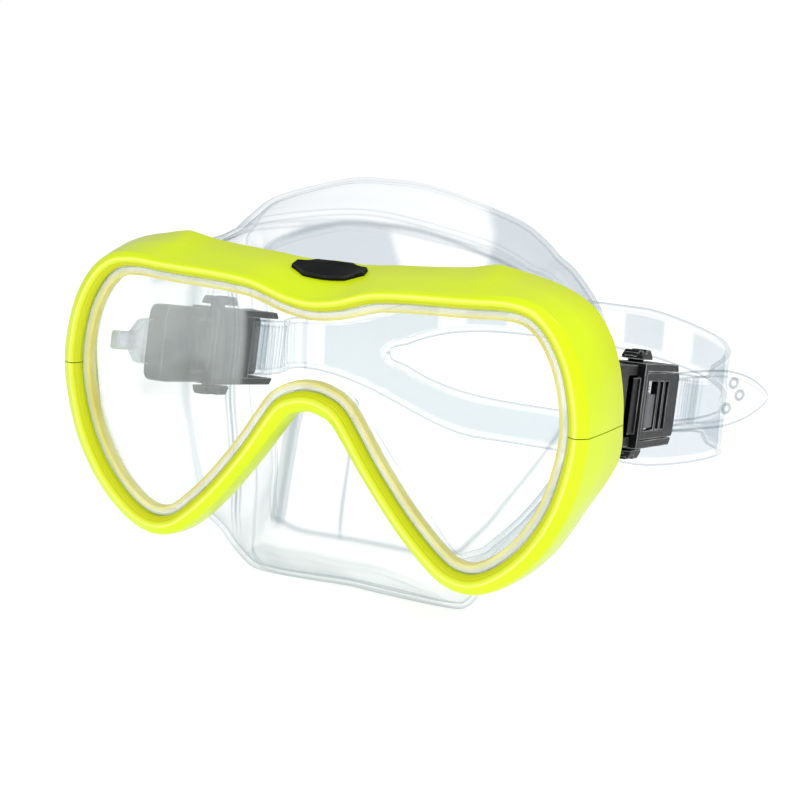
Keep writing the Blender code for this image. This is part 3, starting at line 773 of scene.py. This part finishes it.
END_THICK = 0.8
BAND_THICK = 1.0
STRAP_SPACING = 0.5
CORNER_PUSH = 4.5
CORNER_REACH = 21  # rows on each side that a rear corner is rounded over
LIMB_ROWS = 32
TAIL_LENGTH = 19.0  # its pointed part
SLOT_BLUNT = 4.2
SLOT_OPEN = 1.2  # a half slot above this counts as open
EDGE_EASE = 0.75
LEAST_THICK = 0.2
TAIL_RIB_PITCH = 3.6
TAIL_RIBS = (22.5, 52)  # distances from the tip
REAR_RIB_PITCH = 5.0
REAR_RIBS_START = 66
REAR_RIBS_END = -34  # this and the panes are distances past the slot's start
PANES_START = -26.5
UPPER_PANES = ((-28, 18), (28.5, 44.5))
BEND_START = (8.0, 66.0, 0.0)  # a point in buckle coordinates
BEND_WAY = (-0.62, 0.78, 0.0)
DOTS = ((12.0, 5.0), (9.6, 1.0), (13.4, -3.2))  # each one's distance from the tip, and its height


class BuckleFrame:
    """Buckle coordinates: x outwards, y rearwards and z up from the swivel, in millimetres."""

    def __init__(self, prefix):
        joint = JOINTS[prefix + "_buckle_swivel"]
        side = 1 if prefix == "left" else -1
        self.origin = np.array(joint["pos_m"], float) / MM
        up = np.array(joint["axis"], float)
        self.up = up / np.linalg.norm(up) * (1 if up[2] > 0 else -1)
        self.out = np.array((side, 0.0, 0.0))
        rear = np.cross(self.up, self.out) * side
        self.rear = rear / np.linalg.norm(rear)

    def world(self, points):
        points = np.asarray(points, float)
        return (self.origin + points[..., 0:1] * self.out + points[..., 1:2] * self.rear
                + points[..., 2:3] * self.up)

    def local(self, points):
        gap = np.asarray(points, float) - self.origin
        return np.stack((gap @ self.out, gap @ self.rear, gap @ self.up), -1)


def end_rows(prefix):
    """The strap end's sections from its tail tip to its rear end, as strap rows."""
    place = BuckleFrame(prefix)
    mesh = Welded(prefix + "_strap_end")
    depth = place.local(mesh.points)[:, 1]
    start = [i for i in range(len(depth)) if depth[i] > depth.max() - 0.5]
    rows = []
    for group in mesh.levels(start):
        ring = mesh.points[sorted(group)]
        height = place.local(ring)[:, 2]
        half = (height.max() - height.min()) / 2
        rows.append((*ring.mean(0), *place.up, half, 0.0, END_THICK))
    return rows[::-1]


def band_rows():
    """The rear band's sections from the wearer's left to the right, as strap rows."""
    mesh = Welded("head_strap")
    left = [i for i, p in enumerate(mesh.points) if p[0] > 0]
    low = min(mesh.points[i][1] for i in left)
    start = [i for i in left if mesh.points[i][1] < low + 1.5]
    rows = []
    for group in mesh.levels(start):
        ring = mesh.points[sorted(group)]
        heights = np.sort(ring[:, 2])
        middle = (heights[0] + heights[-1]) / 2
        half = (heights[-1] - heights[0]) / 2
        slot = (heights[5] - heights[2]) / 2 if len(heights) == 8 else 0.0
        rows.append((ring[:, 0].mean(), ring[:, 1].mean(), middle, 0, 0, 1, half, slot, BAND_THICK))
    return rows


def strap_path():
    """The whole strap from the left tail's tip to the right tail's tip, finely spaced."""
    rows = np.array(end_rows("left") + band_rows() + end_rows("right")[::-1])
    steps = np.linalg.norm(np.diff(rows[:, :3], axis=0), axis=1)
    counts = [max(2, math.ceil(step / STRAP_SPACING)) for step in steps]
    slopes = np.array(run_slopes(rows, steps, 1.0))
    slopes[:, 6:8] *= 0.7
    return round_corners(fill_run(rows, slopes, steps, counts))


def lengths_along(centre):
    """Length along a path at each of its points."""
    return np.concatenate(((0.0,), np.cumsum(np.linalg.norm(np.diff(centre, axis=0), axis=1))))


def round_corners(path):
    """The path with its two rear corners pushed out and rounded."""
    length = lengths_along(path[:, :3])
    from_tip = np.minimum(length, length[-1] - length)
    push = CORNER_PUSH * ramp(from_tip, 128, 150) * (1 - ramp(from_tip, 158, 185))
    path[:, 0] += np.sign(path[:, 0]) * push
    kernel = np.hanning(2 * CORNER_REACH + 3)[1:-1]
    kernel /= kernel.sum()
    keep = ramp(from_tip, 122, 136)
    for column in range(3):
        eased = np.convolve(np.pad(path[:, column], CORNER_REACH, "edge"), kernel, "valid")
        path[:, column] = path[:, column] * (1 - keep) + eased * keep
    return path


def strap_fields():
    """Centre, directions, half height, slot and thickness along the whole strap, with its length."""
    path = strap_path()
    centre = path[:, :3]
    length = lengths_along(centre)
    up = path[:, 3:6] / np.linalg.norm(path[:, 3:6], axis=1)[:, None]
    side = np.cross(np.gradient(centre, axis=0), up)
    side /= np.linalg.norm(side, axis=1)[:, None]
    half = path[:, 6]
    full = float(np.median(half[(length > 30) & (length < 60)]))  # the evenly wide part's
    for reach in (length, length[-1] - length):
        nose = np.clip(1 - reach / TAIL_LENGTH, 0, 1)
        pointed = full * np.clip(1 - nose**2.1, 0, 1) ** 0.72
        half = np.where(reach < TAIL_LENGTH, pointed, half)
    slot = np.clip(path[:, 7], 0, None)
    open_part = np.where(slot > SLOT_OPEN)[0]
    first, last = length[open_part[0]], length[open_part[-1]]
    ends = np.minimum(length - first, last - length)
    cap = np.sqrt(np.clip(SLOT_BLUNT**2 - (SLOT_BLUNT - np.clip(ends, 0, SLOT_BLUNT)) ** 2, 0, None))
    slot = np.where(ends <= 0, 0, np.minimum(slot, cap + np.clip(ends - 1, 0, None) * 1.2))
    return {"centre": centre, "up": up, "side": side, "half": half, "slot": slot, "thick": path[:, 8],
            "length": length, "slot_range": (first, last)}


def edge_distance(place, height, half, fields):
    """Distance inside the strap from its nearest edge, where half is its half height at each row."""
    outer = half[:, None, None] - np.abs(height)
    length, slot = fields["length"], fields["slot"]
    first, last = fields["slot_range"]
    keep = (length > first - 1) & (length < last + 1)
    rim = np.concatenate([np.stack((length[keep], sign * slot[keep])) for sign in (1, -1)], 1)
    close = (place > first - 12) & (place < last + 12)
    along, level = place[close][:, None], height[close][:, None]
    nearest = np.full(height.shape, np.inf)
    step = 64
    for start in range(0, rim.shape[1], step):
        part = rim[:, start:start + step]
        gap = np.hypot(along - part[0], level - part[1]).min(1)
        nearest[close] = np.minimum(nearest[close], gap)
    return np.minimum(outer, nearest)


def rib_wave(from_tip, pitch):
    """1 on the middle of each rib, 0 between two."""
    return (1 + np.cos(2 * np.pi * from_tip / pitch)) / 2


def strap_relief(place, height, distance, fields):
    """Groove depth on the toothed face, thickness lost between the rims, grained areas, and lines of
    painted shade.
    """
    total = fields["length"][-1]
    first, last = fields["slot_range"]
    from_tip = np.minimum(place, total - place)
    past_slot = from_tip - np.where(place < total / 2, first, total - last)
    inside = ramp(distance, 1.6, 2.2)
    wave = rib_wave(from_tip, TAIL_RIB_PITCH)
    tail = band(from_tip, *TAIL_RIBS, 0.3)
    rear_ribs = ramp(rib_wave(from_tip, REAR_RIB_PITCH), 0.35, 0.65)
    rear_ribs *= ramp(from_tip, REAR_RIBS_START, REAR_RIBS_START + 1)
    rear_ribs *= 1 - ramp(past_slot, REAR_RIBS_END, REAR_RIBS_END + 1)
    ribs = ramp(wave, 0.35, 0.65) * tail + rear_ribs
    dots = np.zeros_like(place)
    for along, level in DOTS:
        gap = np.hypot(from_tip - along, (height - level) * 0.8)
        dots = np.maximum(dots, band(gap, 0.75, 1.6, 0.25))
    rear = ramp(past_slot, PANES_START, PANES_START + 1)
    upper = np.maximum(*(band(past_slot, *ends, 0.8) for ends in UPPER_PANES))
    pane = ramp(distance, 2.7, 3.1) * rear * np.where(height > 0, upper, 1.0)
    groove = 0.42 * ribs * inside + 0.35 * dots
    sink = 0.35 * pane + 0.18 * inside * (1 - rear)
    frost = 0.9 * pane + 0.8 * ribs * inside + 0.5 * dots
    # Painted grey shade along the strap's edges, the rims' inner step, the dots, the ribs' end and the tail
    # ribs' edges
    line = 0.6 * (1 - ramp(distance, 0.6, 0.9)) + 0.4 * band(distance, 1.9, 2.5, 0.25) + 0.7 * dots
    line += 0.4 * band(past_slot, REAR_RIBS_END + 0.5, REAR_RIBS_END + 1.5, 0.4)
    line += 0.9 * band(wave, 0.3, 0.7, 0.15) * tail * inside
    return groove, sink, np.clip(frost, 0, 1), np.clip(line, 0, 1)


def strap_half(name, first, last, cut_end, fields, material, bond):
    """The strap from row first up to last: above and below its slot, two faces each, cut at one end."""
    pick = slice(first, last)
    rows = (1 - np.cos(np.pi * np.arange(LIMB_ROWS) / (LIMB_ROWS - 1))) / 2
    half = fields["half"][pick, None]
    slot = fields["slot"][pick, None]
    limbs = np.stack((-half + (half - slot) * rows[None], slot + (half - slot) * rows[None]), 1)
    place = np.broadcast_to(fields["length"][pick, None, None], limbs.shape)
    distance = np.clip(edge_distance(place, limbs, fields["half"][pick], fields), 0, None)
    groove, sink, frost, line = strap_relief(place, limbs, distance, fields)
    round_off = np.sqrt(np.clip(1 - (1 - np.clip(distance / EDGE_EASE, 0, 1)) ** 2, 0, 1))
    thick, centre, up, side = (fields[key][pick, None, None] for key in ("thick", "centre", "up", "side"))
    toothed = round_off * np.clip(thick - sink - groove, LEAST_THICK, None)
    plain = round_off * np.clip(thick - sink, LEAST_THICK, None)
    spine = centre + up * limbs[..., None]
    layers = np.stack((spine + side * toothed[..., None], spine - side * plain[..., None]), 1)
    number = np.arange(layers[..., 0].size).reshape(layers.shape[:-1])
    faces = strip_faces(number[:-1], number[1:])
    cut = strip_faces(number[cut_end, 0], number[cut_end, 1])
    masks = {"frost": np.stack((frost, frost), 1), "line": np.stack((line, line), 1)}
    spare = (bond, range(len(faces), len(faces) + len(cut)))
    return make_object(name, layers.reshape(-1, 3), faces + cut, material, SOFT_CREASE, masks, spare)


def build_straps(material, bond):
    """Each side's strap from its tail tip to the middle of the back."""
    fields = strap_fields()
    count = len(fields["length"])
    behind = fields["centre"][:, 1] > 120
    middle = int(np.argmin(np.where(behind, np.abs(fields["centre"][:, 0]), np.inf)))
    for prefix, first, last, cut_end in (("left", 0, middle + 1, middle), ("right", middle, count, 0)):
        obj = strap_half(prefix + "_strap", first, last, cut_end, fields, material, bond)
        place = BuckleFrame(prefix)
        start = place.world(BEND_START) * MM
        way = place.world(BEND_WAY) - place.origin
        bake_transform(obj)
        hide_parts(prefix + "_strap_end", "head_strap")


# The badge

def brow_point(where, y, lift):
    """A point above the brow's sloping face, where counts fine rim rows from the middle."""
    low = math.floor(where)
    t = where - low
    row = RIM[low % len(RIM)] * (1 - t) + RIM[(low + 1) % len(RIM)] * t
    out = RIM_OUT[low % len(RIM)] * (1 - t) + RIM_OUT[(low + 1) % len(RIM)] * t
    width, spread, rear = row[2:]
    slope = math.atan2(spread - width, rear - OPENING_Y - 0.2)
    offset = width + (y - OPENING_Y - 0.2) * math.tan(slope) + lift * math.cos(slope)
    return (row[0] + out[0] * offset, y - lift * math.sin(slope), row[1] + out[1] * offset)


def build_badge(material):
    """A plain six-sided plaque with a raised border and a flat field."""
    reach = 3 * RIM_FINE
    middle = OPENING_Y + 11.2
    border = 1.55
    side = ((1, 0.35), (1, 1.3), (0.93, border), (0.80, border), (0.74, 1.25))
    section = [(-share, lift) for share, lift in side] + [(0, 1.32)] + list(side[::-1])
    rings = []
    for i in range(33):
        across = i / 16 - 1
        full = 3.7 * min(1.0, 1.9 - 1.5 * abs(across))
        end = ramp(abs(across), 0.84, 0.9)
        ring = []
        for share, lift in section:
            raised = lift + (border - lift) * end if abs(share) < 0.8 else lift
            ring.append(brow_point(across * reach, middle + full * share, raised))
        rings.append(ring)
    obj = loft("badge_plaque", rings, False, material, FINE_CREASE)
    place_piece(obj, "black_plastic", "brow_badge")


# Buckle pieces

def inset(outline, gap):
    """An outline drawn in by a gap."""
    outline = np.asarray(outline, float)
    along = np.roll(outline, -1, 0) - np.roll(outline, 1, 0)
    inward = np.stack((-along[:, 1], along[:, 0]), 1)
    inward /= np.maximum(np.linalg.norm(inward, axis=1), 1e-9)[:, None]
    area = np.sum(outline[:, 0] * np.roll(outline[:, 1], -1) - np.roll(outline[:, 0], -1) * outline[:, 1])
    return outline + inward * gap * (1 if area > 0 else -1)


def plate(name, prefix, outline, low, high, material):
    """A plate across the buckle's x from a y, z outline, its two faces eased round their edges."""
    place = BuckleFrame(prefix)
    ease = 0.5
    slight = ease * 0.3
    rings = []
    for x, gap in ((low, ease), (low + slight, slight), (low + ease, 0),
                   (high - ease, 0), (high - slight, slight), (high, ease)):
        rings.append(place.world([(x, y, z) for y, z in inset(outline, gap)]))
    return loft(name, rings, False, material)


def both_halves(lower):
    """A whole outline from its lower half, given as y, z and radius from front to rear."""
    return [*lower, *((y, -z, radius) for y, z, radius in reversed(lower))]


def build_bracket(prefix, lug, black):
    """The clear lug on the frame and the black fork that carries the swivel pin."""
    arm = rounded(both_halves(((-40.5, -2.8, 1), (-31, -2.8, 2), (-27, -6.6, 2), (-20, -7.4, 1))), 5)
    fork = rounded(both_halves(((-22, -12, 4), (3.6, -12, 1.2), (3.6, -8.5, 0.4), (-6, -8.5, 0.8))), 6)
    clear = plate(prefix + "_bracket_lug", prefix, arm, 1.3, 4.3, lug)
    dark = plate(prefix + "_bracket_fork", prefix, fork, -3.2, 3.2, black)
    for obj, slot in ((clear, "clear_plastic"), (dark, "black_plastic")):
        place_piece(obj, slot, prefix + "_buckle_bracket")


PAD_FRONT = 6.3
PAD_REAR = 23.7
PAD_HALF = 3.2
PAD_LOW = 13.5
BUTTON_X = -0.6
STEM_Y = 13.6
STEM_RADIUS = 2.35


def button_ring(y):
    """The pad's x, z section at one y: an oval pad under two stepped lobes."""
    near = min(y - PAD_FRONT, PAD_REAR - y)
    half = PAD_HALF * math.sqrt(max(1 - (1 - min(near / PAD_HALF, 1)) ** 2, 0.004))
    lobe = 1.5 * band(y, 8.0, 13.4, 0.35) + 2.0 * band(y, 16.0, 22.0, 0.35)
    top = 14.5 + 0.9 * band(y, 7.2, 22.8, 0.3) + 0.5 * lobe
    crown = half * (0.86 - 0.12 * min(lobe, 1))
    return ((-half, PAD_LOW), (half, PAD_LOW), (half, 14.3), (crown, top - 0.15), (crown * 0.8, top),
            (-crown * 0.8, top), (-crown, top - 0.15), (-half, 14.3))


def build_button(prefix, name, up, black):
    """A squeeze button: its pad, and the stem that reaches into the housing."""
    place = BuckleFrame(prefix)
    steps = 48
    rings = []
    for k in range(steps + 1):
        y = PAD_FRONT + (PAD_REAR - PAD_FRONT) * (1 - math.cos(math.pi * k / steps)) / 2
        rings.append(place.world([(x + BUTTON_X, y, z * up) for x, z in button_ring(y)]))
    pad = loft(name, rings, False, black)
    turns = [2 * math.pi * k / 24 for k in range(24)]
    circle = [(STEM_RADIUS * math.cos(a) + BUTTON_X, STEM_Y + STEM_RADIUS * math.sin(a)) for a in turns]
    rings = [place.world([(x, y, z * up) for x, y in circle]) for z in (10.8, 13.8)]
    stem = loft(name + "_stem", rings, False, black)
    for piece in (pad, stem):
        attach(piece, prefix + ("_button_up" if up > 0 else "_button_down"))
        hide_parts(prefix + ("_upper_button" if up > 0 else "_lower_button"))


# Carried-over CAD nodes

def dress(node, material, bevel=0.22):
    """Give a CAD node its finished material and edges eased by bevel."""
    obj = frame["nodes"][node]
    obj.data.materials.clear()
    obj.data.materials.append(material)
    weld = obj.modifiers.new("weld", "WELD")
    weld.merge_threshold = 1e-6
    edge = obj.modifiers.new("edge", "BEVEL")
    edge.width = bevel * MM
    edge.segments = 2
    edge.limit_method = "ANGLE"
    edge.angle_limit = math.radians(32)
    obj.data.shade_smooth()
    obj.modifiers.new("normals", "WEIGHTED_NORMAL")


def build_buckles(black, lug, worn_and_lit, steel):
    """Both buckles, from their brackets to their springs."""
    for prefix in ("left", "right"):
        build_bracket(prefix, lug, black)
        build_button(prefix, prefix + "_button_top", 1, black)
        build_button(prefix, prefix + "_button_under", -1, black)
        dress(prefix + "_buckle_body", black)
        dress(prefix + "_ladder_gate", black, 0.35)
        dress(prefix + "_locking_pawl", worn_and_lit, 0.15)
        dress(prefix + "_strap_roller", black, 0.15)
        for part in ("pivot_pin", "gate_pin", "pawl_pin", "roller_axle"):
            dress(prefix + "_" + part, steel, 0.12)
        dress(prefix + "_pawl_spring", steel, 0.03)


# Stage, light and camera

def build_stage():
    """A pale floor level with the object's lowest point, faintly lit from within."""
    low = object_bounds()[0].z / MM
    size = 6000
    corners = [(-size, -size, low), (size, -size, low), (size, size, low), (-size, size, low)]
    s = Shader("stage_floor")
    tone = s.blend(s.mottle(s.noise(3)), FLOOR_DEEP, FLOOR_PALE)
    surface = s.solid(tone, 0.9, Specular_IOR_Level=0.0, Emission_Color=tone, Emission_Strength=0.45)
    make_object("stage_floor", corners, [(0, 1, 2, 3)], s.finish(surface))


def soft_light(name, place, aim, size, power):
    """A rectangular lamp: places in metres, power in watts."""
    data = bpy.data.lights.new(name, "AREA")
    data.shape = "RECTANGLE"
    data.size, data.size_y = size
    data.energy = power
    obj = bpy.data.objects.new(name, data)
    obj.location = place
    obj.rotation_euler = (Vector(aim) - Vector(place)).to_track_quat("-Z", "Y").to_euler()
    bpy.context.scene.collection.objects.link(obj)


ROOM_SEEN = 1.0  # the room's brightness to the camera
ROOM_LIGHT = 0.62  # and to everything else
LAMP_AIM = (0, 0.03, -0.02)


def build_light():
    """A white room, brighter where the camera sees it, with a soft key, a rim light and a weak fill."""
    world = bpy.data.worlds.new("studio")
    world.use_nodes = True
    tree = world.node_tree
    background = tree.nodes["Background"]
    background.inputs[0].default_value = (*WHITE, 1)
    seen = tree.nodes.new("ShaderNodeLightPath")
    strength = tree.nodes.new("ShaderNodeMapRange")
    strength.inputs["To Min"].default_value = ROOM_LIGHT
    strength.inputs["To Max"].default_value = ROOM_SEEN
    tree.links.new(seen.outputs["Is Camera Ray"], strength.inputs["Value"])
    tree.links.new(strength.outputs[0], background.inputs[1])
    bpy.context.scene.world = world
    soft_light("key", (0.25, -0.6, 0.7), LAMP_AIM, (0.5, 0.35), 3.2)
    soft_light("rim", (0.5, 0.06, 0.6), (0.07, 0.0, 0.0), (0.10, 0.12), 0.6)
    soft_light("fill", (-0.7, -0.6, 0.4), LAMP_AIM, (0.5, 0.7), 0.15)


CAMERA_AZIMUTH = math.radians(23.08)
CAMERA_ELEVATION = math.radians(13.97)
CAMERA_ROLL = math.radians(2.59)
CAMERA_AIM = (0.02727, -0.0081, -0.0095)
CAMERA_DISTANCE = 0.4245


def build_camera():
    """A long lens seeing the mask from its left, above and slightly tilted."""
    a, e, r = CAMERA_AZIMUTH, CAMERA_ELEVATION, CAMERA_ROLL
    forward = Vector((-math.sin(a) * math.cos(e), math.cos(a) * math.cos(e), -math.sin(e)))
    right = Vector((math.cos(a), math.sin(a), 0))
    up = right.cross(forward)
    tilted_right = right * math.cos(r) + up * math.sin(r)
    tilted_up = up * math.cos(r) - right * math.sin(r)
    data = bpy.data.cameras.new("camera")
    data.lens = 72
    data.sensor_width = 36
    data.clip_start = 0.01
    data.clip_end = 50
    camera = bpy.data.objects.new("camera", data)
    place = Vector(CAMERA_AIM) - forward * CAMERA_DISTANCE
    for row in range(3):
        for column, axis in enumerate((tilted_right, tilted_up, -forward, place)):
            camera.matrix_world[row][column] = axis[row]
    bpy.context.scene.collection.objects.link(camera)
    bpy.context.scene.camera = camera


def main():
    """Every piece, then the stage, its light and the camera."""
    scene = bpy.context.scene
    scene.view_settings.view_transform = "Standard"
    scene.cycles.transparent_max_bounces = 48
    scene.cycles.transmission_bounces = 16
    scene.cycles.max_bounces = 20
    yellow = yellow_plastic()
    black = moulded_black("buckle_black_plastic")
    worn_and_lit = moulded_black("pawl_grey_plastic", tone=0.09, rough=0.42, lift=0.2)
    badge = moulded_black("badge_black_plastic", tone=0.006, rough=0.3, lift=0.05)
    build_frame(yellow)
    build_ring(ring_plastic())
    build_lens(lens_glass())
    build_skirt(silicone("skirt_clear_silicone", SKIRT_EDGE_ON))
    build_straps(silicone("strap_clear_silicone", STRAP_EDGE_ON), clear_cut())
    build_badge(badge)
    build_buckles(black, lug_plastic(), worn_and_lit, brushed_steel())
    build_stage()
    build_light()
    build_camera()


main()
